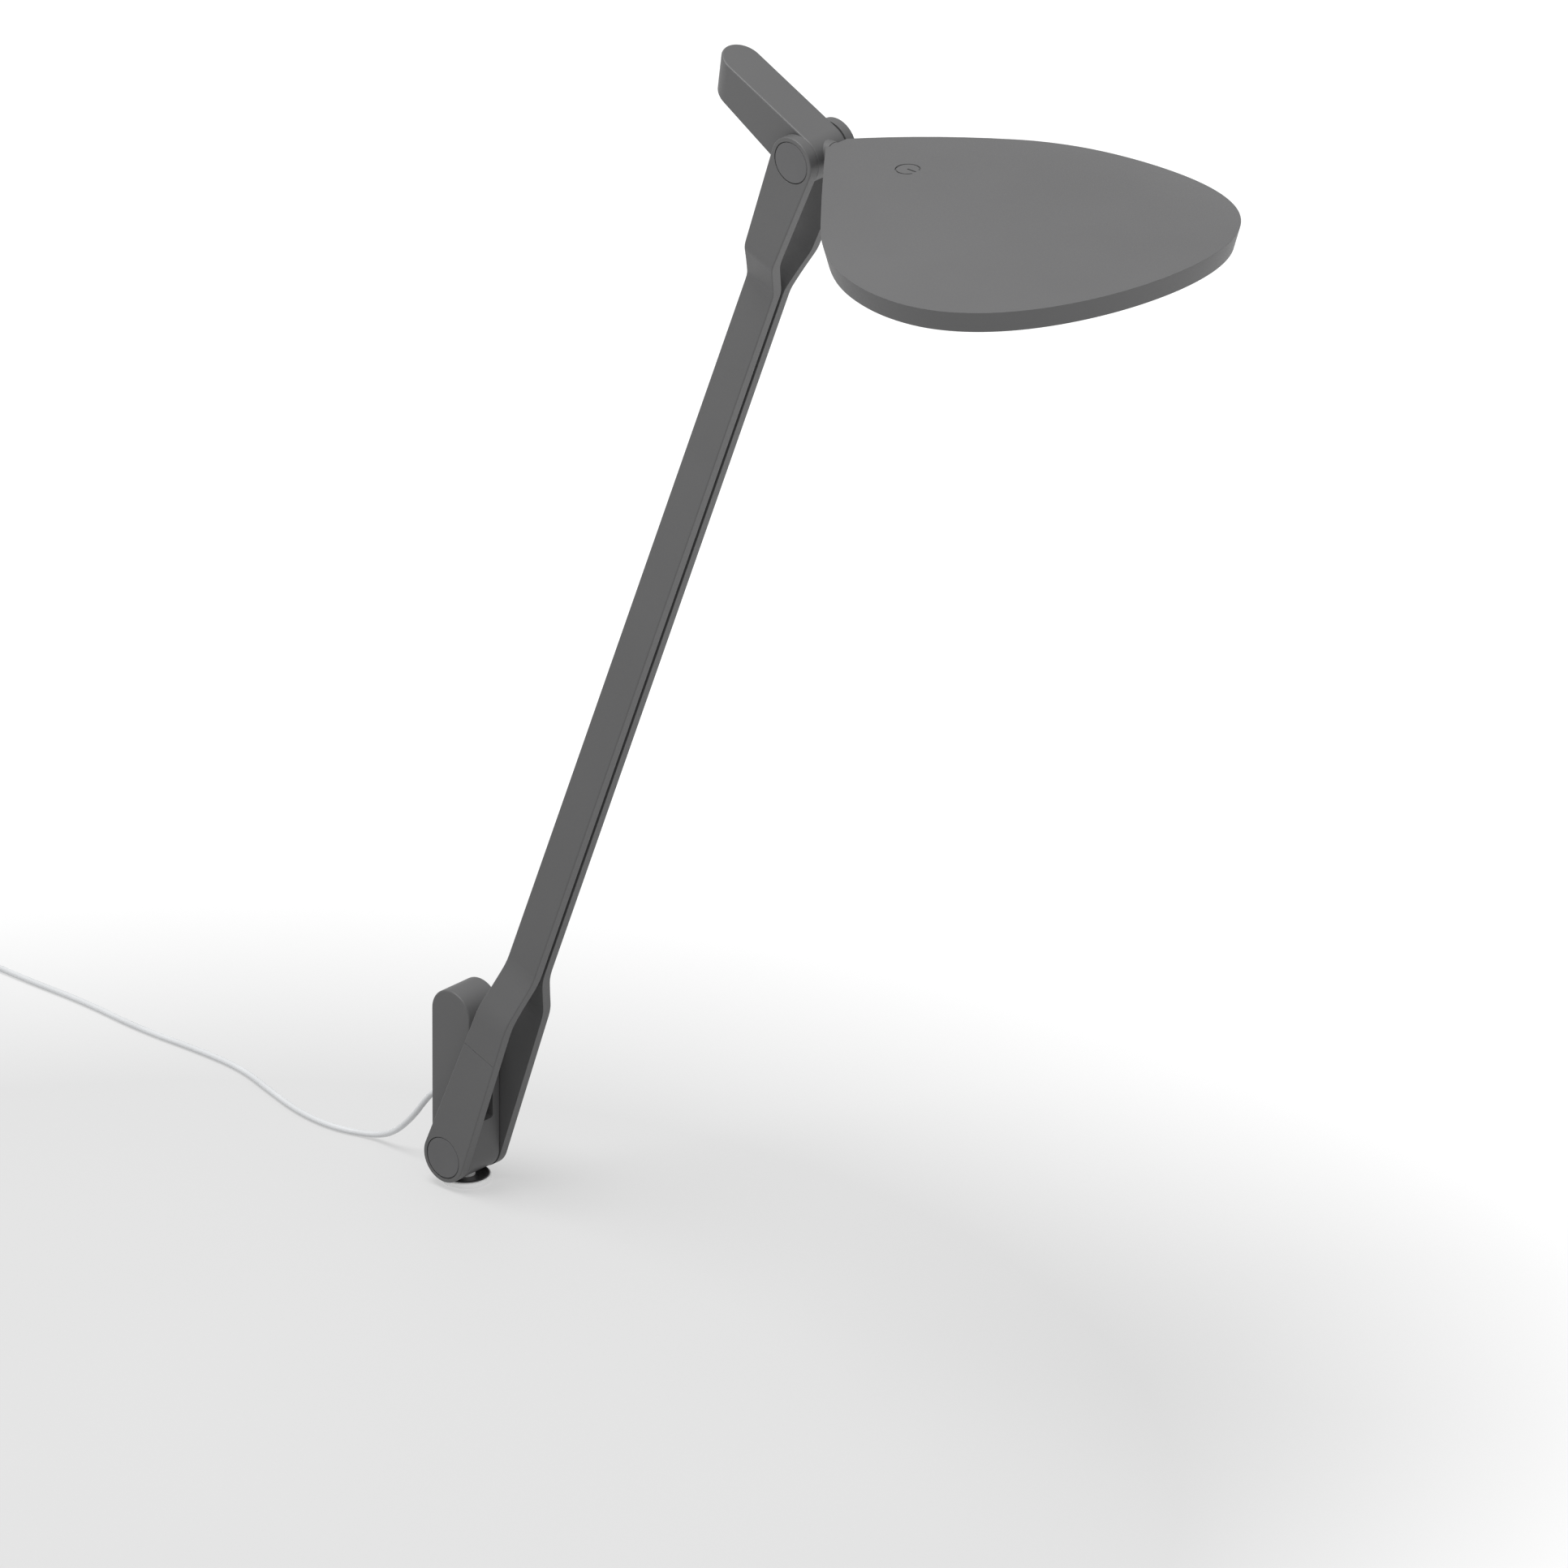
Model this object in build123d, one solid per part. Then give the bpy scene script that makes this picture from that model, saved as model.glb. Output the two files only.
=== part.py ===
from build123d import *
import math
import os

# A slim desk lamp held by a stud through the table top. Millimetres, +Z up.
# Origin: where the swivel axis meets the table top. +X: the way the arm leans
# and the head points. Y: along both pivot axes. Left is -Y, right is +Y.

# ---------------------------------------------------------------- dimensions

END_R = 8.15            # round ends of the post and the link
BODY_HALF = 6.9         # half width along Y of the post and the link

# Table mount, from the table top down
STUD_R = 2.95
STUD_BOTTOM = -58.0
THREAD_PITCH = 1.0
THREAD_DEPTH = 0.35
THREAD_TOP = -6.0
JOURNAL_R = 2.5         # turned end of the stud that carries the swivel
SHOULDER_Z = 5.0
JOURNAL_TOP = 23.0
PAD_R = 8.0
FLANGE_R = 7.45
TABLE = 25.0            # table thickness that the clamp is shown on
CLAMP_R = 11.0
HAND_NUT_R = 12.0
SCALLOPS = 20

# Post
PIVOT_Z = 10.8          # lower pivot axis above the table
POST_TOP_Z = 59.2       # centre of the upper round end
POCKET_Z = (17.0, 52.0)
POCKET_HALF = 4.6
COVER_Z = (15.8, 60.0)
COVER_HALF = 5.6
COVER_X = -6.55         # inner face of the rear cover
SLOT_Z = (22.8, 53.5)   # cable slot in the front face
SLOT_HALF = 3.7
BOARD_X = (0.6, 1.6)
BOARD_Z = (30.0, 50.0)

# Arm
ARM_LENGTH = 418.6      # pivot to pivot
ARM_LEAN = 20.92        # degrees from upright at rest
STRAP_T = 3.4
STRAP_END_R = 8.35      # round ends of the straps
STRAP_IN = 7.1          # inner face beside the post and the link
STRAP_MID = 0.7         # inner face along the middle of the arm
STRAP_HALF_W = 6.05     # half width of the straight middle
TAPER_LOW = 65.0        # where the tapers reach the straight middle
TAPER_HIGH = 372.5
JOGGLE_LOW = (59.0, 75.0)
JOGGLE_HIGH = (366.0, 380.0)
DOWEL_AT = (110.0, 220.0, 330.0)
GROOVE_AT = 43.7        # fine seam line across each strap's outer face

# Pivots
PIN_R = 3.0
PIN_HEAD_R = 5.0
BUSH_R = 4.3
CAP_R = 6.75
CAP_RECESS_R = 6.95
CAP_T = 1.0

# Link between the arm and the head
LINK_TOP_SLOPE = 24.0   # degrees, rising towards the tail
LINK_LOW_SLOPE = 30.0
LINK_TAIL_X = -36.6     # upper corner of the tail, from the upper pivot
TAIL_LEAN = 7.7         # degrees, lean of the tail's end face

# Neck and head, measured from the upper pivot
NECK_Z = 2.35           # roll axis above the upper pivot
NECK_R = 3.75
COLLAR_X = 8.3          # end of the link's collar
HEAD_X = 8.5            # start of the head
HEAD_T = 7.5            # thickness of the head
HEAD_PITCH = 1.73       # degrees, tip up
CROWN_R = 275.0         # crown of the top face across Y
SKIN = 1.4
WALL = 1.6
WALL_DRAFT = 15.0       # degrees, walls lean in going down
HEAD_START = (8.5, 3.8) # plan of the right side: straight to the corner, then curved to the tip
HEAD_CORNER = (44.0, 44.0)
HEAD_KNOTS = [(52, 51.6), (62, 58.1), (76, 62.9), (92, 64.5), (106, 62.9), (120, 58.0), (134, 49.0),
              (147.9, 33.0), (154.5, 18.7), (157.4, 0)]
HEAD_STEPS = 24
HEAD_LEVELS = (-10.0, 12.0)     # heights of the two outlines that the wall runs between
SYMBOL_X = 39.7         # centre of the power symbol

# Supply cord
CORD_R = 1.0
CORD_Z = 26.8           # height of the cord's exit from the post
COIL_AT = (-227.0, -6.7)
COIL_R = (6.8, 16.1)
COIL_Z = (0.6, 13.0)
CORD_POINTS = [(-7.4, 0, CORD_Z), (-13.0, 0, 26.7), (-17.6, 0, 21.4), (-22.8, 0, 14.0),
               (-31.0, 0, 5.6), (-41.0, 0.9, 1.05), (-54, -3.6, 1.05), (-70, -2.8, 1.05),
               (-88, 2.5, 1.05), (-104, 7.6, 1.05), (-122, 8.2, 1.05), (-148, 6.6, 1.05),
               (-174, 8.9, 1.05), (-199, 8.0, 1.05), (-221.6, 8.3, 1.65)]
ADAPTER_SIZE = (46.0, 34.0, 24.0)
ADAPTER_AT = (-232.0, -45.5)
LEAD_Z = 11.9
PIN_SPACING = 19.0

# ---------------------------------------------------------------- helpers

os.makedirs("parts", exist_ok=True)

UPPER = (ARM_LENGTH * math.sin(math.radians(ARM_LEAN)), 0,
         PIVOT_Z + ARM_LENGTH * math.cos(math.radians(ARM_LEAN)))
LOWER = (0, 0, PIVOT_Z)
AT_POST = Location(LOWER)
AT_UPPER = Location(UPPER)
ALONG_ARM = Location(LOWER, (0, ARM_LEAN, 0))       # local Z runs up the arm
ALONG_LINK = Location((0, 0, 0), (0, LINK_LOW_SLOPE, 0))


def save(name, shape):
    export_step(shape, f"parts/{name}.step")


def group(solids):
    return Compound(children=list(solids))


def block(x, y, z):
    """A box from three (low, high) pairs."""
    centre = [(a + b) / 2 for a, b in (x, y, z)]
    return Pos(*centre) * Box(x[1] - x[0], y[1] - y[0], z[1] - z[0])


def rod_x(r, x, y=0.0, z=0.0):
    return Location(((x[0] + x[1]) / 2, y, z), (0, 90, 0)) * Cylinder(r, x[1] - x[0])


def rod_y(r, y, x=0.0, z=0.0):
    return Location((x, (y[0] + y[1]) / 2, z), (90, 0, 0)) * Cylinder(r, y[1] - y[0])


def rod_z(r, z, x=0.0, y=0.0):
    return Pos(x, y, (z[0] + z[1]) / 2) * Cylinder(r, z[1] - z[0])


def mirrored(y, side):
    """The (low, high) pair of a distance pair y on one side of the middle plane."""
    return (y[0], y[1]) if side > 0 else (-y[1], -y[0])


def slab(profile, y):
    """An XZ profile carried along Y over the pair y."""
    return extrude(Plane.XZ.offset(-y[1]) * profile, amount=y[1] - y[0])


def turned(points):
    """A turned solid about Z from (radius, height) points."""
    return revolve(make_face(Plane.XZ * Polyline(*points, close=True)), Axis.Z)


def tube(points, r):
    """A round cord: straight runs joined by arcs as wide as the shorter run allows."""
    radii = []
    for a, b, c in zip(points, points[1:], points[2:]):
        before = Vector(*b) - Vector(*a)
        after = Vector(*c) - Vector(*b)
        half = math.radians(before.get_angle(after)) / 2
        radii.append(0.45 * min(before.length, after.length) / math.tan(half))
    path = FilletPolyline(*points, radius=radii)
    print("cord radii", [round(v, 1) for v in radii], "length", round(path.length, 1))
    start = Plane(origin=points[0], z_dir=Vector(*points[1]) - Vector(*points[0]))
    solid = sweep(start * Circle(r), path=path)
    print("cord volume", round(solid.volume, 1), "of", round(math.pi * r * r * path.length, 1))
    return solid


def countersunk(length, head_r=1.9, shank_r=1.0):
    """The outline of a countersunk screw, head flush with z = 0, shank downwards."""
    return turned([(0, 0), (head_r, 0), (head_r, -0.25), (shank_r, -1.15), (shank_r, -length), (0, -length)])


def hex_socket(size, depth):
    return Pos(0, 0, -depth) * extrude(RegularPolygon(size, 6), amount=depth + 0.2)


# ---------------------------------------------------------------- table mount

def make_mount():
    crest = STUD_R
    root = STUD_R - THREAD_DEPTH
    outline = [(0, STUD_BOTTOM), (root - 0.5, STUD_BOTTOM), (root, STUD_BOTTOM + 0.5)]
    z = STUD_BOTTOM + 1.0
    while z + THREAD_PITCH <= THREAD_TOP:
        outline += [(root, z), (crest, z + 0.42 * THREAD_PITCH), (crest, z + 0.58 * THREAD_PITCH)]
        z += THREAD_PITCH
    outline += [(root, z), (crest, z + 0.4), (crest, SHOULDER_Z), (JOURNAL_R, SHOULDER_Z),
                (JOURNAL_R, JOURNAL_TOP - 0.4), (JOURNAL_R - 0.4, JOURNAL_TOP), (0, JOURNAL_TOP)]
    save("mount_stud", turned(outline))

    pad = turned([(STUD_R, 0), (PAD_R - 0.3, 0), (PAD_R, 0.3), (PAD_R, 1.7), (PAD_R - 0.3, 2.0),
                  (FLANGE_R, 2.0), (FLANGE_R, 1.2), (STUD_R, 1.2)])
    save("base_pad", pad)
    flange = turned([(STUD_R, 1.2), (FLANGE_R, 1.2), (FLANGE_R, 2.15), (FLANGE_R - 0.15, 2.3),
                     (FLANGE_R - 0.6, 2.3), (FLANGE_R - 1.0, 2.1), (3.8, 1.8), (STUD_R, 1.8)])
    save("base_flange", flange)

    washer = turned([(2.55, 17.05), (4.2, 17.05), (4.2, 17.45), (3.0, 18.2), (2.55, 18.2)])
    save("swivel_spring_washer", washer)
    nut = Pos(0, 0, 18.25) * extrude(RegularPolygon(3.7, 6, major_radius=False), amount=3.75)
    nut &= turned([(0, 18.2), (3.8, 18.2), (4.3, 18.55), (4.3, 21.7), (3.8, 22.05), (0, 22.05)])
    save("swivel_nut", nut - rod_z(JOURNAL_R, (18, 22.5)))


def make_clamp():
    top = -TABLE
    pad = turned([(3.3, top - 2), (CLAMP_R, top - 2), (CLAMP_R, top - 0.4), (CLAMP_R - 0.4, top),
                  (3.7, top), (3.3, top - 0.4)])
    save("clamp_pad", pad)
    plate = turned([(3.3, top - 4.5), (CLAMP_R - 0.6, top - 4.5), (CLAMP_R, top - 3.9), (CLAMP_R, top - 2),
                    (3.3, top - 2)])
    save("clamp_plate", plate)
    high = top - 4.55
    nut = turned([(3.0, high - 10), (HAND_NUT_R - 1, high - 10), (HAND_NUT_R, high - 9),
                  (HAND_NUT_R, high - 3), (HAND_NUT_R - 1, high - 2), (7.0, high - 2), (6.0, high),
                  (3.4, high), (3.0, high - 0.4)])
    for i in range(SCALLOPS):
        turn = Rot(0, 0, i * 360 / SCALLOPS)
        nut -= turn * rod_z(1.1, (high - 11, high - 1), x=HAND_NUT_R + 0.35)
    save("clamp_nut", nut)


# ---------------------------------------------------------------- post

def post_outline():
    height = POST_TOP_Z - PIVOT_Z
    middle = (POST_TOP_Z + PIVOT_Z) / 2
    return Pos(0, middle) * SlotCenterToCenter(height, 2 * END_R, rotation=90)


def make_post():
    body = slab(post_outline(), (-BODY_HALF, BODY_HALF))
    sides = body.faces().filter_by(Axis.Y)
    body = fillet([e for f in sides for e in f.edges()], 0.5)
    inside = (-POCKET_HALF, POCKET_HALF)
    body -= block((-7, 4.5), inside, POCKET_Z)
    for side in (-1, 1):
        # Ledges that the board rests against, and the bores for the pivot bushes.
        body += block((BOARD_X[1], 4.6), mirrored((3.6, POCKET_HALF + 0.2), side), (28, POCKET_Z[1] + 0.2))
        body -= rod_y(BUSH_R, mirrored((4.6, 7.5), side), z=PIVOT_Z)
    body -= block((-9, COVER_X), (-COVER_HALF, COVER_HALF), COVER_Z)
    body -= block((-7.65, COVER_X + 0.05), (-3.05, 3.05), (14.5, 16))
    slot = Pos(0, (SLOT_Z[0] + SLOT_Z[1]) / 2) * Rectangle(2 * SLOT_HALF, SLOT_Z[1] - SLOT_Z[0])
    slot = fillet(slot.vertices(), 0.8)
    body -= extrude(Plane.YZ.offset(4.0) * slot, amount=5)
    body -= rod_z(3.5, (SHOULDER_Z, 17.1))
    body -= rod_z(3.05, (2, SHOULDER_Z + 0.1))
    into_cover = Location((-END_R, 0, 56.0), (0, -90, 0))
    body -= into_cover * countersunk(7)
    save("post_housing", body)

    cover = block((-9, COVER_X), (-COVER_HALF + 0.05, COVER_HALF - 0.05),
                  (COVER_Z[0] + 0.05, COVER_Z[1] - 0.05))
    cover &= slab(post_outline(), (-10, 10))
    cover += block((-7.6, COVER_X), (-3, 3), (14.6, 16))
    for side in (-1, 1):
        cover += rod_x(0.8, (COVER_X - 0.2, BOARD_X[0]), y=side * 3.5, z=47.5)
    cover -= into_cover * countersunk(7)
    cover -= rod_x(2.2, (-9, -6), z=CORD_Z)
    save("post_rear_cover", cover)
    save("rear_cover_screw", into_cover * (countersunk(7) - hex_socket(0.75, 0.9)))

    save("swivel_bush", rod_z(3.5, (SHOULDER_Z + 0.02, 17)) - rod_z(JOURNAL_R + 0.03, (0, 20)))
    bushes = [bush_at(side, LOWER) for side in (-1, 1)]
    save("lower_pivot_bushes", group(bushes))

    save("driver_board", block(BOARD_X, (-4.5, 4.5), BOARD_Z))
    back = BOARD_X[0]
    chip = block((back - 1.1, back), (-2.2, 1.8), (32.5, 36.5))
    choke = rod_x(2.4, (back - 2.6, back), y=-0.6, z=41.3)
    choke = fillet(choke.edges(), 0.4)
    small = [block((back - 0.8, back), (y, y + 1.2), (z, z + 2.0))
             for y, z in ((2.6, 33), (2.6, 37), (-3.9, 33.5))]
    save("driver_parts", group([chip, choke] + small))
    save("input_leads", group([tube([(-5.9, y, CORD_Z), (1.1, y, CORD_Z), (1.1, y, BOARD_Z[0])], 0.42)
                               for y in (-1.0, 1.0)]))

    relief = turned([(0, 5.9), (3.0, 5.9), (3.0, -COVER_X), (2.2, -COVER_X), (2.2, END_R), (2.6, END_R),
                     (2.6, END_R + 0.35), (1.8, END_R + 2.05), (1.5, END_R + 2.05), (1.06, END_R + 0.6),
                     (1.06, 7.4), (0, 7.4)])
    save("strain_relief", Location((0, 0, CORD_Z), (0, -90, 0)) * relief)


# ---------------------------------------------------------------- pivots

def bush_at(side, centre):
    y = mirrored((4.6, BODY_HALF), side)
    return Location(centre) * (rod_y(BUSH_R, y) - rod_y(PIN_R + 0.05, mirrored((4, 8), side)))


def pivot_pin(side):
    """Stub pin: a shank in the bush and a head seated in the strap."""
    pin = rod_y(PIN_R, mirrored((4.6, 8.0), side)) + rod_y(PIN_HEAD_R, mirrored((8.0, 9.25), side))
    return pin - rod_y(2.1, mirrored((8.05, 9.5), side))


def make_pivots():
    for name, centre in (("lower", LOWER), ("upper", UPPER)):
        place = Location(centre)
        save(f"{name}_pivot_pins", group([place * pivot_pin(side) for side in (-1, 1)]))
        washers = []
        for side in (-1, 1):
            ring = rod_y(6.5, mirrored((BODY_HALF + 0.02, 7.6), side)) - rod_y(3.2, mirrored((6, 8), side))
            washers.append(place * ring)
        save(f"{name}_friction_washers", group(washers))
        for side, word in ((-1, "left"), (1, "right")):
            face = STRAP_IN + STRAP_T
            cap = rod_y(CAP_R, mirrored((face - CAP_T, face), side))
            rim = cap.edges().filter_by(GeomType.CIRCLE).sort_by(Axis.Y)[-1 if side > 0 else 0]
            cap = chamfer(rim, 0.2)
            cap += rod_y(2.0, mirrored((8.2, face - CAP_T + 0.2), side))
            save(f"{name}_cap_{word}", place * cap)


# ---------------------------------------------------------------- arm

def strap_front():
    """Outline of a strap in arm coordinates: round ends, long tapers, straight middle."""
    def tangent(t):
        reach = math.hypot(STRAP_HALF_W, t)
        angle = math.atan2(t, STRAP_HALF_W) - math.acos(STRAP_END_R / reach)
        return STRAP_END_R * math.cos(angle), STRAP_END_R * math.sin(angle)

    low = tangent(TAPER_LOW)
    high = tangent(ARM_LENGTH - TAPER_HIGH)
    right = [low, (STRAP_HALF_W, TAPER_LOW), (STRAP_HALF_W, TAPER_HIGH), (high[0], ARM_LENGTH - high[1])]
    left = [(-x, t) for x, t in reversed(right)]
    edges = Polyline(*right) + ThreePointArc(right[-1], (0, ARM_LENGTH + STRAP_END_R), left[0])
    edges += Polyline(*left) + ThreePointArc(left[-1], (0, -STRAP_END_R), right[0])
    face = make_face(edges)
    corners = [v for v in face.vertices() if abs(abs(v.X) - STRAP_HALF_W) < 0.01]
    return fillet(corners, 150)


def strap_side():
    """Side profile of the right strap: (Y, distance along the arm), stepped in at both ends."""
    wide = STRAP_IN + STRAP_T
    near = STRAP_MID + STRAP_T
    face = make_face(Polyline(
        (STRAP_IN, -20), (STRAP_IN, JOGGLE_LOW[0]), (STRAP_MID, JOGGLE_LOW[1]),
        (STRAP_MID, JOGGLE_HIGH[0]), (STRAP_IN, JOGGLE_HIGH[1]), (STRAP_IN, ARM_LENGTH + 20),
        (wide, ARM_LENGTH + 20), (wide, JOGGLE_HIGH[1] - 0.7), (near, JOGGLE_HIGH[0] - 0.7),
        (near, JOGGLE_LOW[1] + 0.58), (wide, JOGGLE_LOW[0] + 0.58), (wide, -20), close=True))
    low = [v for v in face.vertices() if 50 < v.Y < 90]
    face = fillet(low, 17)
    high = [v for v in face.vertices() if 360 < v.Y < 385]
    return fillet(high, 9)


def middle_y(t):
    """Mid-thickness of the right strap at distance t along the arm."""
    def step(a, b):
        return min(1.0, max(0.0, (t - a) / (b - a)))
    inward = step(*JOGGLE_LOW) - step(*JOGGLE_HIGH)
    return STRAP_IN + STRAP_T / 2 - inward * (STRAP_IN - STRAP_MID)


def is_outer_rim(point):
    """True for a point on the outer face's edge and false for one on a fold line across the face."""
    beyond_ends = not 0 < point.Z < ARM_LENGTH
    return point.Y > middle_y(point.Z) + 1.0 and (abs(point.X) > 0.5 or beyond_ends)


def make_straps():
    blank = slab(strap_front(), (0, 12)) & extrude(Plane.YZ * strap_side(), amount=12, both=True)
    outer_rim = [e for e in blank.edges() if is_outer_rim(e @ 0.5)]
    blank = fillet(outer_rim, 0.4)
    wide = STRAP_IN + STRAP_T
    for t in (0, ARM_LENGTH):
        blank -= rod_y(PIN_R + 0.05, (6, 12), z=t)
        blank -= rod_y(PIN_HEAD_R + 0.1, (8.0, 12), z=t)
        blank -= rod_y(CAP_RECESS_R, (wide - CAP_T, 12), z=t)
        blank -= rod_y(6.6, (6, 7.6), z=t)
    for t in DOWEL_AT:
        blank -= rod_y(1.5, (0, STRAP_MID + 1.8), x=-1.8, z=t)
    blank -= block((-12, 12), (wide - 0.1, 12), (GROOVE_AT - 0.08, GROOVE_AT + 0.08))
    save("right_strap", ALONG_ARM * blank)
    save("left_strap", ALONG_ARM * mirror(blank, about=Plane.XZ))
    dowels = [ALONG_ARM * rod_y(1.5, (-STRAP_MID - 1.8, STRAP_MID + 1.8), x=-1.8, z=t) for t in DOWEL_AT]
    save("strap_dowels", group(dowels))
    ribbon = Pos(2.6, 0, (80 + 362) / 2) * Box(2.6, 2 * STRAP_MID, 362 - 80)
    ribbon = fillet(ribbon.edges().filter_by(Axis.Z), 0.5)
    save("arm_cable", ALONG_ARM * ribbon)


# ---------------------------------------------------------------- link

def tangent_point(slope, up):
    """Where an edge rising towards the tail at this slope leaves the round end."""
    angle = math.radians(slope)
    sign = 1 if up else -1
    return sign * END_R * math.sin(angle), sign * END_R * math.cos(angle)


def link_profile():
    top = tangent_point(LINK_TOP_SLOPE, True)
    low = tangent_point(LINK_LOW_SLOPE, False)
    rise = math.tan(math.radians(LINK_TOP_SLOPE))
    fall = math.tan(math.radians(LINK_LOW_SLOPE))
    lean = math.tan(math.radians(TAIL_LEAN))
    tail_top = (LINK_TAIL_X, top[1] + (top[0] - LINK_TAIL_X) * rise)
    # The end face leans back going down until it meets the lower edge.
    depth = (tail_top[1] - low[1] - (low[0] - LINK_TAIL_X) * fall) / (1 + lean * fall)
    tail_low = (LINK_TAIL_X - depth * lean, tail_top[1] - depth)
    shape = make_face(Polyline(top, tail_top, tail_low, low) + ThreePointArc(low, (END_R, 0), top))
    return shape, tail_top


def make_link():
    profile, tail_top = link_profile()
    body = slab(profile, (-BODY_HALF, BODY_HALF))
    plan = Pos(BODY_HALF + 40, 0) * SlotCenterToCenter(80, 2 * BODY_HALF)
    along_tail = Location((tail_top[0], 0, tail_top[1]), (0, TAIL_LEAN, 0))
    body &= along_tail * extrude(plan, amount=70, both=True)
    lean = Vector(0, 0, 1).rotate(Axis.Y, TAIL_LEAN)

    def parallel(edge, way):
        return abs((edge % 0.5).dot(way)) > 0.9999 and edge.geom_type == GeomType.LINE

    rims = [e for e in body.edges() if not parallel(e, lean) and not parallel(e, Vector(0, 1, 0))]
    body = fillet(rims, 0.6)
    body += rod_x(NECK_R, (0, COLLAR_X), z=NECK_Z)
    for side in (-1, 1):
        body -= rod_y(BUSH_R, mirrored((4.6, 7.5), side))
    cavity = ALONG_LINK * block((-25.5, -6.5), (-4.4, 4.4), (-6.7, 2.0))
    body -= cavity
    body -= ALONG_LINK * block((-29.5, -8.5), (-5.6, 5.6), (-10, -6.75))
    body -= ALONG_LINK * block((-8.6, -7.3), (-3.05, 3.05), (-7.7, -6.7))
    body -= rod_x(2.8, (-6, 9), z=NECK_Z)
    body -= rod_x(3.9, (-10.5, -4.5), z=NECK_Z)
    screw_place = ALONG_LINK * Location((-27.6, 0, -END_R), (180, 0, 0))
    body -= screw_place * countersunk(6)
    save("link_housing", AT_UPPER * body)

    cover = ALONG_LINK * (block((-29.45, -8.55), (-5.55, 5.55), (-END_R, -6.75))
                          + block((-9, -7.35), (-3, 3), (-7.65, -6.75)))
    cover -= screw_place * countersunk(6)
    save("link_cover", AT_UPPER * cover)
    save("link_cover_screw", AT_UPPER * screw_place * (countersunk(6) - hex_socket(0.75, 0.9)))
    plug = block((-22.5, -13.5), (-3.2, 3.2), (-1.2, 2.0)) + block((-21.5, -14.5), (-2.4, 2.4), (-3, -1))
    save("link_connector", AT_UPPER * ALONG_LINK * plug)
    save("upper_pivot_bushes", group([bush_at(side, UPPER) for side in (-1, 1)]))
    bush = rod_x(2.8, (-4.5, COLLAR_X - 0.1), z=NECK_Z) - rod_x(2.03, (-6, 9), z=NECK_Z)
    save("neck_bush", AT_UPPER * bush)


# ---------------------------------------------------------------- head

def centre_height(x):
    """Height of the top face on the middle line, from the upper pivot."""
    return NECK_Z + NECK_R + math.tan(math.radians(HEAD_PITCH)) * (x - HEAD_X)


def rim_height(x, y):
    """Height of the crowned top face at a place in plan."""
    return centre_height(x) - (CROWN_R - math.sqrt(CROWN_R ** 2 - y ** 2))


def smooth(points, ends):
    """A curve through the points, paced by the distances between them."""
    reach = [0.0]
    for a, b in zip(points, points[1:]):
        reach.append(reach[-1] + (b - a).length)
    paced = [Vector(*e) * reach[-1] for e in ends]
    return Edge.make_spline(points, paced, parameters=[r / reach[-1] for r in reach], scale=False)


def outline(z, out):
    """Edges of the head's plan outline at height z, moved outwards by out(x, y)."""
    side = (Vector(*HEAD_CORNER) - Vector(*HEAD_START)).normalized()
    rim = smooth([Vector(*p) for p in [HEAD_CORNER] + HEAD_KNOTS], [(side.X, side.Y), (0, -1)])

    def moved(at, way):
        step = out(at.X, at.Y)
        return at.X - way.Y * step, at.Y + way.X * step

    steps = [i / HEAD_STEPS for i in range(HEAD_STEPS + 1)]
    right = [moved(rim @ s, rim % s) for s in steps]
    left = [(x, -y) for x, y in reversed(right[:-1])]
    x, y = moved(Vector(*HEAD_START), side)
    straight = (Vector(*right[0]) - Vector(x, y)).normalized()
    if y < 0.4 or x < HEAD_X:
        further = max(HEAD_X - x, (0.4 - y) * straight.X / straight.Y)
        x, y = x + further, y + further * straight.Y / straight.X
    ends = [(straight.X, straight.Y), (-straight.X, straight.Y)]
    curve = smooth([Vector(*p) for p in right + left], ends)
    sides = [Line(left[-1], (x, -y)), Line((x, -y), (x, y)), Line((x, y), right[0])]
    return [Pos(0, 0, z) * edge for edge in [curve] + sides]


def drafted(inset):
    """The head's outline as a solid whose walls lean in going down through the rim."""
    slope = math.tan(math.radians(WALL_DRAFT))

    def level(z):
        return outline(z, lambda x, y: (z - rim_height(x, y)) * slope - inset)

    low, high = [level(z) for z in HEAD_LEVELS]
    walls = [Face.make_surface_from_curves(a, b) for a, b in zip(low, high)]
    return Solid(Shell(walls + [make_face(low), make_face(high)]))


def upright(inset, start):
    """The head's outline moved in by the inset, with upright walls, from x = start on."""
    low, high = HEAD_LEVELS
    plate = extrude(make_face(outline(low, lambda x, y: -inset)), amount=high - low)
    return plate & block((start, 200), (-90, 90), (-40, 40))


def crowned(outer, inner):
    """A curved layer of the head between two radii about the crown axis, pitched with the head."""
    layer = rod_x(outer, (-20, 200)) - rod_x(inner, (-30, 210))
    layer &= block((-20, 200), (-90, 90), (CROWN_R - 60, CROWN_R + 10))
    place = Location((HEAD_X, 0, NECK_Z + NECK_R), (0, -HEAD_PITCH, 0))
    return place * Pos(-HEAD_X, 0, -CROWN_R) * layer


def on_crown(x, y):
    """A place on the top face, local Z straight out of it."""
    turn = math.degrees(math.asin(y / CROWN_R))
    place = Location((HEAD_X, 0, NECK_Z + NECK_R), (0, -HEAD_PITCH, 0))
    return place * Pos(x - HEAD_X, 0, -CROWN_R) * Rot(-turn, 0, 0) * Pos(0, 0, CROWN_R)


def power_symbol():
    ring = Circle(4.0) - Circle(3.5)
    ring -= Pos(3, 0) * Rectangle(6, 3.2)
    bar = Pos(1.7, 0) * RectangleRounded(3.6, 0.6, 0.25)
    return ring + bar


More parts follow.
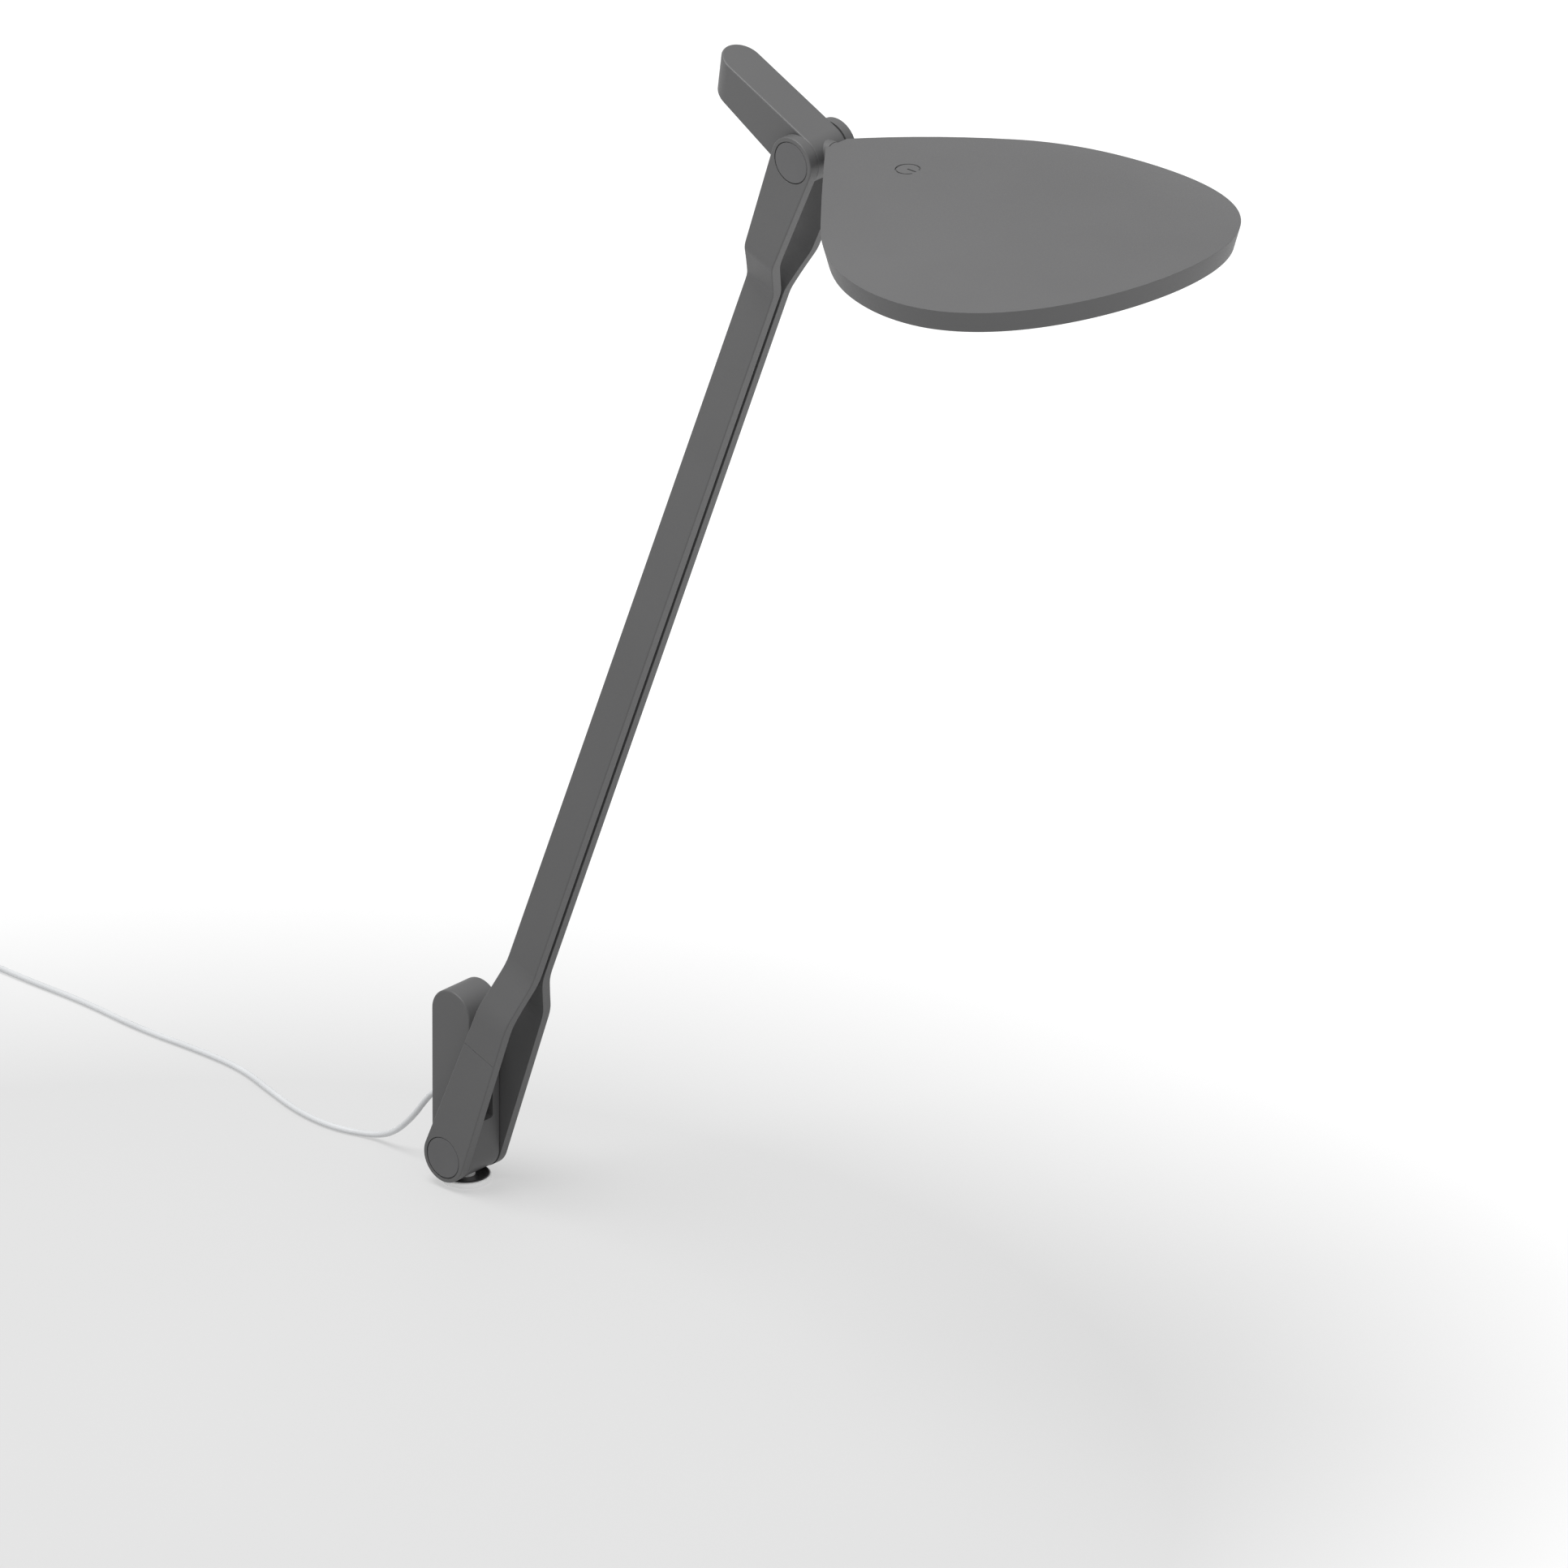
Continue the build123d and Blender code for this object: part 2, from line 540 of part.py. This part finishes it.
def make_head():
    bottom = CROWN_R - HEAD_T
    outer = drafted(0) & crowned(CROWN_R, bottom)
    room = drafted(WALL) & crowned(CROWN_R - SKIN, bottom - 5) & block((19, 200), (-90, 90), (-40, 40))
    shell = outer + rod_x(NECK_R - 0.05, (HEAD_X, 15), z=NECK_Z)
    shell -= room
    shell -= rod_x(2.0, (8, 17), z=NECK_Z)
    shell -= rod_x(1.25, (8, 20), z=NECK_Z)
    shell -= on_crown(SYMBOL_X, 0) * Pos(0, 0, -0.45) * extrude(power_symbol(), amount=2)
    screw_at = [(62, -38), (62, 38), (126, -34), (126, 34)]
    for x, y in screw_at:
        shell -= on_crown(x, y) * rod_z(0.9, (-SKIN - 1, -0.5))
    save("head_top_shell", AT_UPPER * shell)

    inside = drafted(WALL) & block((19, 200), (-90, 90), (-40, 40))
    bezel = (inside - upright(WALL + 7, 28)) & crowned(bottom + 1.2, bottom)
    save("head_bezel", AT_UPPER * bezel)
    plate = upright(WALL + 3.2, 23) & crowned(bottom + 2.7, bottom + 1.2)
    save("diffuser", AT_UPPER * plate)

    area = upright(WALL + 9, 50)
    top = CROWN_R - SKIN
    spreader = area & crowned(top, top - 1.0)
    board = area & crowned(top - 1.0, top - 2.0)
    screws = []
    for x, y in screw_at:
        hole = on_crown(x, y) * rod_z(1.0, (-6, 0))
        spreader -= hole
        board -= hole
        screw = rod_z(0.9, (-SKIN - 2.1, -0.5)) + rod_z(1.7, (-SKIN - 2.6, -SKIN - 2.0))
        socket = Pos(0, 0, -SKIN - 2.7) * extrude(RegularPolygon(0.8, 6), 0.4)
        screws.append(on_crown(x, y) * (screw - socket))
    save("heat_spreader", AT_UPPER * spreader)
    save("led_board", AT_UPPER * board)
    save("board_screws", AT_UPPER * group(screws))
    leds = []
    for x in (58, 74, 90, 106, 122, 138):
        for y in (-27, -9, 9, 27):
            leds.append(on_crown(x, y) * block((-1.5, 1.5), (-1.4, 1.4), (-SKIN - 2.7, -SKIN - 2.008)))
    save("leds", AT_UPPER * group(leds))
    sensor = on_crown(SYMBOL_X, 0) * rod_z(5.5, (-6, 0)) & crowned(top, top - 0.6)
    save("touch_sensor", AT_UPPER * sensor)

    shaft = rod_x(2.0, (-9, 17), z=NECK_Z) - rod_x(1.25, (-10, 18), z=NECK_Z)
    groove = rod_x(3, (-7.6, -6.6), z=NECK_Z) - rod_x(1.6, (-8, -6), z=NECK_Z)
    save("neck_shaft", AT_UPPER * (shaft - groove))
    clip = rod_x(3.6, (-7.55, -6.65), z=NECK_Z) - rod_x(1.6, (-8, -6), z=NECK_Z)
    clip -= block((-8, -6), (-1.3, 1.3), (NECK_Z - 5, NECK_Z))
    save("neck_clip", AT_UPPER * clip)
    washer = turned([(2.06, 4.6), (3.6, 4.6), (3.6, 5.0), (2.8, 6.6), (2.06, 6.6)])
    save("neck_spring_washer", AT_UPPER * Location((0, 0, NECK_Z), (0, -90, 0)) * washer)
    board_mid = centre_height(50) - SKIN - 1.5
    lead = tube([(-10.0, 0, NECK_Z), (22.0, 0, NECK_Z), (36.0, 0, board_mid), (50.0, 0, board_mid + 0.2)],
                0.5)
    save("head_lead", AT_UPPER * lead)


# ---------------------------------------------------------------- cord and adapter

def make_cord():
    save("power_cord", tube(CORD_POINTS, CORD_R))
    x, y = COIL_AT
    mid_r = sum(COIL_R) / 2
    width = COIL_R[1] - COIL_R[0]
    height = COIL_Z[1] - COIL_Z[0]
    section = Plane.XZ * (Pos(mid_r, sum(COIL_Z) / 2) * RectangleRounded(width, height, 1.2))
    coil = revolve(section, Axis.Z)
    save("cord_coil", Pos(x, y, 0) * coil)
    wrap = block((COIL_R[0] - 0.5, COIL_R[1] + 0.5), (-3, 3), (COIL_Z[0] - 0.5, COIL_Z[1] + 0.5))
    wrap = fillet(wrap.edges().filter_by(Axis.Y), 1.6)
    save("cord_tie", Pos(x, y, 0) * (wrap - coil))

    sx, sy, sz = ADAPTER_SIZE
    ax, ay = ADAPTER_AT
    shell = Pos(ax, ay, sz / 2) * Box(sx, sy, sz)
    shell = fillet(shell.edges().filter_by(Axis.Z), 5)
    shell = fillet(shell.faces().filter_by(Axis.Z).edges(), 1.5)
    face = ay + sy / 2
    lead_x = x - 15.5
    shell += rod_y(2.4, (face - 1, face + 3.0), x=lead_x, z=LEAD_Z)
    shell -= rod_y(1.05, (face - 1.5, face + 4), x=lead_x, z=LEAD_Z)
    rim = ax - sx / 2
    shell -= block((rim - 1, rim + 0.4), (ay - 13, ay + 13), (3, sz - 3)) - \
        block((rim - 2, rim + 1), (ay - 12.5, ay + 12.5), (3.5, sz - 3.5))
    pins = []
    for side in (-1, 1):
        pin = rod_x(2.0, (rim - 19, rim + 3), y=ay + side * PIN_SPACING / 2, z=sz / 2)
        tip = pin.edges().filter_by(GeomType.CIRCLE).sort_by(Axis.X)[0]
        pins.append(fillet(tip, 1.6))
    for side in (-1, 1):
        shell -= rod_x(2.0, (rim - 1, rim + 3), y=ay + side * PIN_SPACING / 2, z=sz / 2)
    save("power_adapter", shell)
    save("adapter_pins", group(pins))
    save("adapter_lead", rod_y(CORD_R, (face - 1.5, y - 4.2), x=lead_x, z=LEAD_Z))


make_mount()
make_clamp()
make_post()
make_pivots()
make_straps()
make_link()
make_head()
make_cord()
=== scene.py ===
import bpy
import math
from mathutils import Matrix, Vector


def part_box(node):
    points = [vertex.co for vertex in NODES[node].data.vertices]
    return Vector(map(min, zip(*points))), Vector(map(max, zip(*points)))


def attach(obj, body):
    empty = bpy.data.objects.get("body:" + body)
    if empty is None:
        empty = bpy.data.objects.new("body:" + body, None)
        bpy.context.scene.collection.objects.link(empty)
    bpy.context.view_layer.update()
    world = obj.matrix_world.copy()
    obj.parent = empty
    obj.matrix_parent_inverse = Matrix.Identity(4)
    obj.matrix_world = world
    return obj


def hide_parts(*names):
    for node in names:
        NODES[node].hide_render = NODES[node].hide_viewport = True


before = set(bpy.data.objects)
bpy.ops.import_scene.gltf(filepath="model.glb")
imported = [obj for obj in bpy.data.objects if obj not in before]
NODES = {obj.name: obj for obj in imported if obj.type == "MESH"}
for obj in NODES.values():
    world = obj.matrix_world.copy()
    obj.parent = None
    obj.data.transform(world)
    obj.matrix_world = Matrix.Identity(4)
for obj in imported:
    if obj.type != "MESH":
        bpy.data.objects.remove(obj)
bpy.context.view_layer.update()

# ---------------------------------------------------------------- camera
# A long lens far away, so that parallel edges stay nearly parallel.

AZIMUTH = math.radians(43.19)
ELEVATION = math.radians(25.433)
LOOK_AT = Vector((0.0363, 0.1070, 0.1116))
VIEW_WIDTH = 0.4916
DISTANCE = 20.0

to_camera = Vector((math.cos(ELEVATION) * math.sin(AZIMUTH),
                    -math.cos(ELEVATION) * math.cos(AZIMUTH), math.sin(ELEVATION)))
lens = bpy.data.cameras.new("camera")
camera = bpy.data.objects.new("camera", lens)
bpy.context.scene.collection.objects.link(camera)
bpy.context.scene.camera = camera
lens.sensor_width = 36.0
lens.lens = lens.sensor_width * DISTANCE / VIEW_WIDTH
lens.clip_start = 1.0
lens.clip_end = 200.0
camera.location = LOOK_AT + to_camera * DISTANCE
camera.rotation_euler = (-to_camera).to_track_quat("-Z", "Y").to_euler()


# ---------------------------------------------------------------- node helpers

class Nodes:
    """A small builder for one material's node tree."""

    def __init__(self, name):
        self.material = bpy.data.materials.new(name)
        self.material.use_nodes = True
        self.tree = self.material.node_tree
        self.shader = self.tree.nodes["Principled BSDF"]
        coords = self.add("ShaderNodeTexCoord")
        self.position = coords.outputs["Object"]

    def add(self, kind, **settings):
        node = self.tree.nodes.new(kind)
        for key, value in settings.items():
            setattr(node, key, value)
        return node

    def link(self, source, target):
        self.tree.links.new(source, target)

    def noise(self, scale, detail=4.0, roughness=0.55, stretch=None):
        node = self.add("ShaderNodeTexNoise")
        node.inputs["Scale"].default_value = scale
        node.inputs["Detail"].default_value = detail
        node.inputs["Roughness"].default_value = roughness
        if stretch is None:
            self.link(self.position, node.inputs["Vector"])
        else:
            mapping = self.add("ShaderNodeMapping")
            mapping.inputs["Scale"].default_value = stretch
            self.link(self.position, mapping.inputs["Vector"])
            self.link(mapping.outputs["Vector"], node.inputs["Vector"])
        return node.outputs["Fac"]

    def spread(self, value, low, high, start=0.35, end=0.65):
        """Maps a 0 to 1 pattern to the range low to high."""
        node = self.add("ShaderNodeMapRange")
        node.inputs["From Min"].default_value = start
        node.inputs["From Max"].default_value = end
        node.inputs["To Min"].default_value = low
        node.inputs["To Max"].default_value = high
        self.link(value, node.inputs["Value"])
        return node.outputs["Result"]

    def mix(self, factor, a, b):
        """Colour a where the factor is 0 and b where it is 1. Either may be a colour or a socket."""
        node = self.add("ShaderNodeMix", data_type="RGBA")
        self.link(factor, node.inputs["Factor"])
        for socket, colour in ((node.inputs["A"], a), (node.inputs["B"], b)):
            if isinstance(colour, (tuple, list)):
                socket.default_value = (*colour, 1.0)
            else:
                self.link(colour, socket)
        return node.outputs["Result"]

    def bump(self, height, strength, distance, normal=None):
        node = self.add("ShaderNodeBump")
        node.inputs["Strength"].default_value = strength
        node.inputs["Distance"].default_value = distance
        self.link(height, node.inputs["Height"])
        if normal is not None:
            self.link(normal, node.inputs["Normal"])
        return node.outputs["Normal"]

    def edges(self, radius):
        """A value that is 1 near edges and 0 on flat faces, for wear, and the softened normal."""
        bevel = self.add("ShaderNodeBevel")
        bevel.samples = 4
        bevel.inputs["Radius"].default_value = radius
        geometry = self.add("ShaderNodeNewGeometry")
        dot = self.add("ShaderNodeVectorMath", operation="DOT_PRODUCT")
        self.link(bevel.outputs["Normal"], dot.inputs[0])
        self.link(geometry.outputs["Normal"], dot.inputs[1])
        return self.spread(dot.outputs["Value"], 1.0, 0.0, start=0.93, end=1.0), bevel.outputs["Normal"]


def soft_surface(name, dark, light, rough, grain=2600.0, grain_depth=0.00003, metallic=0.0,
                 edge_light=None, bevel=0.00015, mottle=24.0, stretch=None, ior=1.5):
    """A moulded or coated surface: slow colour drift, fine grain, softened and slightly rubbed edges."""
    n = Nodes(name)
    drift = n.spread(n.noise(mottle, 3.0), 0.0, 1.0)
    colour = n.mix(drift, dark, light)
    edge, rounded = n.edges(bevel)
    if edge_light is not None:
        rub = n.add("ShaderNodeMath", operation="MULTIPLY")
        n.link(edge, rub.inputs[0])
        n.link(n.spread(n.noise(420.0, 5.0), 0.0, 0.6, 0.45, 0.7), rub.inputs[1])
        colour = n.mix(rub.outputs[0], colour, edge_light)
    n.link(colour, n.shader.inputs["Base Color"])
    fine = n.noise(grain, 2.0, stretch=stretch)
    n.link(n.spread(fine, rough[0], rough[1], 0.3, 0.7), n.shader.inputs["Roughness"])
    n.link(n.bump(fine, 0.35, grain_depth, rounded), n.shader.inputs["Normal"])
    n.shader.inputs["Metallic"].default_value = metallic
    n.shader.inputs["IOR"].default_value = ior
    return n.material


def paint(nodes, material):
    """Gives the named CAD nodes one material."""
    for name in nodes:
        mesh = NODES[name].data
        mesh.materials.clear()
        mesh.materials.append(material)


# ---------------------------------------------------------------- cord
# Control points of the route, in metres, the same as in the CAD model.

CORD_D = 0.0020
ROUTE = [(-0.0074, 0, 0.0268), (-0.0130, 0, 0.0267), (-0.0176, 0, 0.0214), (-0.0228, 0, 0.0140),
         (-0.0310, 0, 0.0056), (-0.0410, 0.0009, 0.00105), (-0.0540, -0.0036, 0.00105),
         (-0.0700, -0.0028, 0.00105), (-0.0880, 0.0025, 0.00105), (-0.1040, 0.0076, 0.00105),
         (-0.1220, 0.0082, 0.00105), (-0.1480, 0.0066, 0.00105), (-0.1740, 0.0089, 0.00105),
         (-0.1990, 0.0080, 0.00105)]
COIL_CENTRE = Vector((-0.2270, -0.0067, 0.0))
COIL_STEP = 0.00205     # from one turn to the next, sideways and upwards
COIL_LAYERS = 6
TURNS_A_LAYER = 3.5
COIL_OUTER = 0.0150
COIL_FLOOR = 0.00165
CLIMB = 0.3             # share of a turn in which the cord climbs to the next layer
POINTS_A_TURN = 16
TUBE_SIDES = 5          # bevel resolution
STEPS_A_POINT = 8       # curve resolution


def coil_points():
    """Turns side by side in layers, wound inward and outward by turns, ending with a quarter turn more."""
    points = []
    for i in range(int(COIL_LAYERS * TURNS_A_LAYER * POINTS_A_TURN) + POINTS_A_TURN // 4 + 1):
        turns = i / POINTS_A_TURN
        layer = min(COIL_LAYERS - 1, int(turns / TURNS_A_LAYER))
        done = turns - layer * TURNS_A_LAYER
        depth = done if layer % 2 == 0 else TURNS_A_LAYER - done
        radius = COIL_OUTER - depth * COIL_STEP
        height = COIL_FLOOR + layer * COIL_STEP
        if layer < COIL_LAYERS - 1:
            height += COIL_STEP * max(0.0, (done - TURNS_A_LAYER + CLIMB) / CLIMB)
        angle = math.pi / 2 + 2 * math.pi * turns
        points.append(COIL_CENTRE + Vector((radius * math.cos(angle), radius * math.sin(angle), height)))
    return points


def nurbs(name, points, radius):
    """A round tube along one smooth open spline."""
    data = bpy.data.curves.new(name, "CURVE")
    data.dimensions = "3D"
    data.bevel_depth = 1.0
    data.bevel_resolution = TUBE_SIDES
    data.resolution_u = STEPS_A_POINT
    data.use_fill_caps = True
    spline = data.splines.new("NURBS")
    spline.points.add(len(points) - 1)
    for point, place in zip(spline.points, points):
        point.co = (*place, 1.0)
        point.radius = radius     # this is the tube's radius, since bevel_depth is 1
    spline.order_u = 3
    spline.use_endpoint_u = True
    item = bpy.data.objects.new(name, data)
    bpy.context.scene.collection.objects.link(item)
    return item


lead_low, lead_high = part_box("adapter_lead")
lead_x = (lead_low[0] + lead_high[0]) / 2
lead_z = (lead_low[2] + lead_high[2]) / 2
LEAD_BENDS = (-0.0125, -0.0190)     # y of the two points between the coil and the adapter
tail = [Vector((lead_x, y, lead_z)) for y in (*LEAD_BENDS, lead_low[1])]
cord = nurbs("supply_cord", [Vector(p) for p in ROUTE] + coil_points() + tail, CORD_D / 2)
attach(cord, "post")
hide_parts("power_cord", "cord_coil", "adapter_lead")


def cord_material():
    """Smooth pale grey jacket with a slight gloss."""
    n = Nodes("cord_jacket")
    drift = n.spread(n.noise(45.0, 2.0), 0.0, 1.0)
    n.link(n.mix(drift, (0.55, 0.56, 0.57), (0.60, 0.61, 0.62)), n.shader.inputs["Base Color"])
    n.link(n.spread(n.noise(300.0, 2.0), 0.24, 0.32, 0.3, 0.7), n.shader.inputs["Roughness"])
    n.shader.inputs["Coat Weight"].default_value = 0.25
    n.shader.inputs["Coat Roughness"].default_value = 0.20
    return n.material


jacket = cord_material()
cord.data.materials.append(jacket)

# ---------------------------------------------------------------- materials

charcoal = soft_surface("charcoal_coat", (0.0865, 0.0865, 0.0875), (0.0905, 0.0905, 0.0915), (0.46, 0.56),
                        edge_light=(0.15, 0.15, 0.152))
paint(["post_housing", "post_rear_cover", "left_strap", "right_strap", "link_housing", "link_cover",
       "head_top_shell"], charcoal)
caps = soft_surface("cap_coat", (0.083, 0.083, 0.085), (0.091, 0.091, 0.093), (0.42, 0.50), mottle=60.0,
                    edge_light=(0.15, 0.15, 0.152))
paint(["lower_cap_left", "lower_cap_right", "upper_cap_left", "upper_cap_right"], caps)
flange = soft_surface("flange_coat", (0.035, 0.035, 0.036), (0.048, 0.048, 0.050), (0.30, 0.40))
paint(["base_flange"], flange)
dark_plastic = soft_surface("moulded_dark", (0.030, 0.030, 0.031), (0.042, 0.042, 0.043), (0.48, 0.60),
                            grain=1800.0, grain_depth=0.00005)
paint(["head_bezel", "clamp_nut", "link_connector", "driver_parts", "touch_sensor"], dark_plastic)
rubber = soft_surface("black_rubber", (0.014, 0.014, 0.014), (0.024, 0.024, 0.023), (0.70, 0.86),
                      grain=900.0, grain_depth=0.0001, mottle=90.0)
paint(["clamp_pad", "arm_cable", "head_lead", "input_leads", "cord_tie"], rubber)
fibre = soft_surface("friction_disc", (0.055, 0.050, 0.044), (0.095, 0.085, 0.074), (0.60, 0.80), grain=1400.0,
                     grain_depth=0.00006, mottle=260.0)
paint(["lower_friction_washers", "upper_friction_washers"], fibre)
adapter = soft_surface("adapter_shell", (0.040, 0.040, 0.042), (0.052, 0.052, 0.054), (0.50, 0.64),
                       grain=1500.0, grain_depth=0.00008)
paint(["power_adapter"], adapter)
paint(["base_pad"], soft_surface("pale_pad", (0.92, 0.92, 0.92), (0.96, 0.96, 0.96), (0.30, 0.40), mottle=120.0))
paint(["strain_relief"], soft_surface("relief_boot", (0.50, 0.51, 0.52), (0.60, 0.61, 0.62), (0.30, 0.42)))
steel = soft_surface("turned_steel", (0.80, 0.80, 0.80), (0.88, 0.88, 0.88), (0.36, 0.46), metallic=0.85,
                     grain=900.0, stretch=(0.2, 0.2, 3.0), mottle=140.0)
paint(["lower_pivot_pins", "upper_pivot_pins", "neck_shaft", "strap_dowels"], steel)
# The steel stud gets a near-white, mostly non-metallic colour: a painted reflection that keeps it bright in the
# shaded gap under the post.
paint(["mount_stud"], soft_surface("stud_painted_reflection", (0.88, 0.88, 0.88), (0.95, 0.95, 0.95), (0.40, 0.50), metallic=0.25,
                                   grain=900.0, stretch=(0.2, 0.2, 3.0), mottle=140.0))
zinc = soft_surface("zinc_plate", (0.44, 0.45, 0.45), (0.56, 0.57, 0.56), (0.28, 0.44), metallic=1.0, mottle=300.0)
paint(["clamp_plate", "swivel_nut", "swivel_spring_washer", "neck_spring_washer", "neck_clip",
       "rear_cover_screw", "link_cover_screw", "board_screws"], zinc)
bronze = soft_surface("sintered_bronze", (0.30, 0.19, 0.09), (0.42, 0.28, 0.14), (0.38, 0.55), metallic=1.0,
                      mottle=600.0)
paint(["swivel_bush", "lower_pivot_bushes", "upper_pivot_bushes", "neck_bush"], bronze)
nickel = soft_surface("nickel_plate", (0.62, 0.62, 0.61), (0.72, 0.72, 0.71), (0.10, 0.20), metallic=1.0)
paint(["adapter_pins"], nickel)
aluminium = soft_surface("rolled_aluminium", (0.60, 0.61, 0.62), (0.70, 0.71, 0.72), (0.28, 0.42), metallic=1.0,
                         stretch=(0.1, 3.0, 1.0))
paint(["heat_spreader"], aluminium)
paint(["driver_board"], soft_surface("board_green", (0.012, 0.085, 0.040), (0.018, 0.115, 0.055), (0.30, 0.42),
                                     mottle=700.0))
paint(["led_board"], soft_surface("board_white", (0.74, 0.74, 0.72), (0.82, 0.82, 0.80), (0.34, 0.48), mottle=300.0))
paint(["leds"], soft_surface("phosphor", (0.78, 0.60, 0.16), (0.86, 0.70, 0.24), (0.16, 0.28), mottle=900.0))
opal = soft_surface("opal_diffuser", (0.80, 0.80, 0.78), (0.86, 0.86, 0.84), (0.50, 0.62), mottle=40.0)
opal.node_tree.nodes["Principled BSDF"].inputs["Subsurface Weight"].default_value = 0.3
opal.node_tree.nodes["Principled BSDF"].inputs["Subsurface Scale"].default_value = 0.003
paint(["diffuser"], opal)


# ---------------------------------------------------------------- floor and light

GREY_CENTRE = (0.10, -0.22, 0.0)
GREY_FADE = (0.30, 0.52)            # distances from the centre where the grey starts to fade and ends
NEAR_GLOW = (0.48, 0.48, 0.48)      # a faint glow of the floor keeps the shadows light
FAR_GLOW = (0.74, 0.74, 0.74)


def floor_material():
    """Pale grey round a spot in front of the lamp, fading to white, with very slight unevenness."""
    n = Nodes("pale_floor")
    reach = n.add("ShaderNodeVectorMath", operation="DISTANCE")
    n.link(n.position, reach.inputs[0])
    reach.inputs[1].default_value = GREY_CENTRE
    fade = n.spread(reach.outputs["Value"], 0.0, 1.0, *GREY_FADE)
    faint = n.spread(n.noise(3.0, 3.0), 0.0, 1.0)
    near = n.mix(faint, (0.196, 0.196, 0.196), (0.204, 0.204, 0.204))
    n.link(n.mix(fade, near, (0.30, 0.30, 0.30)), n.shader.inputs["Base Color"])
    n.link(n.mix(fade, NEAR_GLOW, FAR_GLOW), n.shader.inputs["Emission Color"])
    n.shader.inputs["Emission Strength"].default_value = 1.0
    n.link(n.spread(n.noise(900.0, 2.0), 0.62, 0.72, 0.3, 0.7), n.shader.inputs["Roughness"])
    n.shader.inputs["Specular IOR Level"].default_value = 0.15
    return n.material


FLOOR_HALF = 12.0
FLOOR_Z = -0.0001                   # just under the lamp, so that the two never share a plane
floor_mesh = bpy.data.meshes.new("floor")
corners = [(-FLOOR_HALF, -FLOOR_HALF), (FLOOR_HALF, -FLOOR_HALF), (FLOOR_HALF, FLOOR_HALF), (-FLOOR_HALF, FLOOR_HALF)]
floor_mesh.from_pydata([(x, y, FLOOR_Z) for x, y in corners], [], [(0, 1, 2, 3)])
floor = bpy.data.objects.new("floor", floor_mesh)
bpy.context.scene.collection.objects.link(floor)
floor_mesh.materials.append(floor_material())


LIGHT_AIM = Vector((0.05, 0.0, 0.2))


def area_light(name, place, size, power):
    data = bpy.data.lights.new(name, "AREA")
    data.shape = "DISK"
    data.size = size
    data.energy = power
    item = bpy.data.objects.new(name, data)
    item.location = place
    item.rotation_euler = (LIGHT_AIM - Vector(place)).to_track_quat("-Z", "Y").to_euler()
    bpy.context.scene.collection.objects.link(item)


# Name, place in metres, diameter in metres and power in watts.
area_light("key", (-0.1, -0.7, 3.0), 1.6, 76.0)
area_light("overhead", (0.1, 0.1, 3.0), 4.2, 14.0)
area_light("fill", (2.2, -0.9, 1.0), 1.8, 1.5)
WORLD_STRENGTH = 0.58

world = bpy.data.worlds.new("studio")
bpy.context.scene.world = world
world.use_nodes = True
backdrop = world.node_tree.nodes["Background"]
backdrop.inputs["Color"].default_value = (1.0, 1.0, 1.0, 1.0)
backdrop.inputs["Strength"].default_value = WORLD_STRENGTH
bpy.context.scene.view_settings.view_transform = "Standard"

bpy.context.view_layer.update()
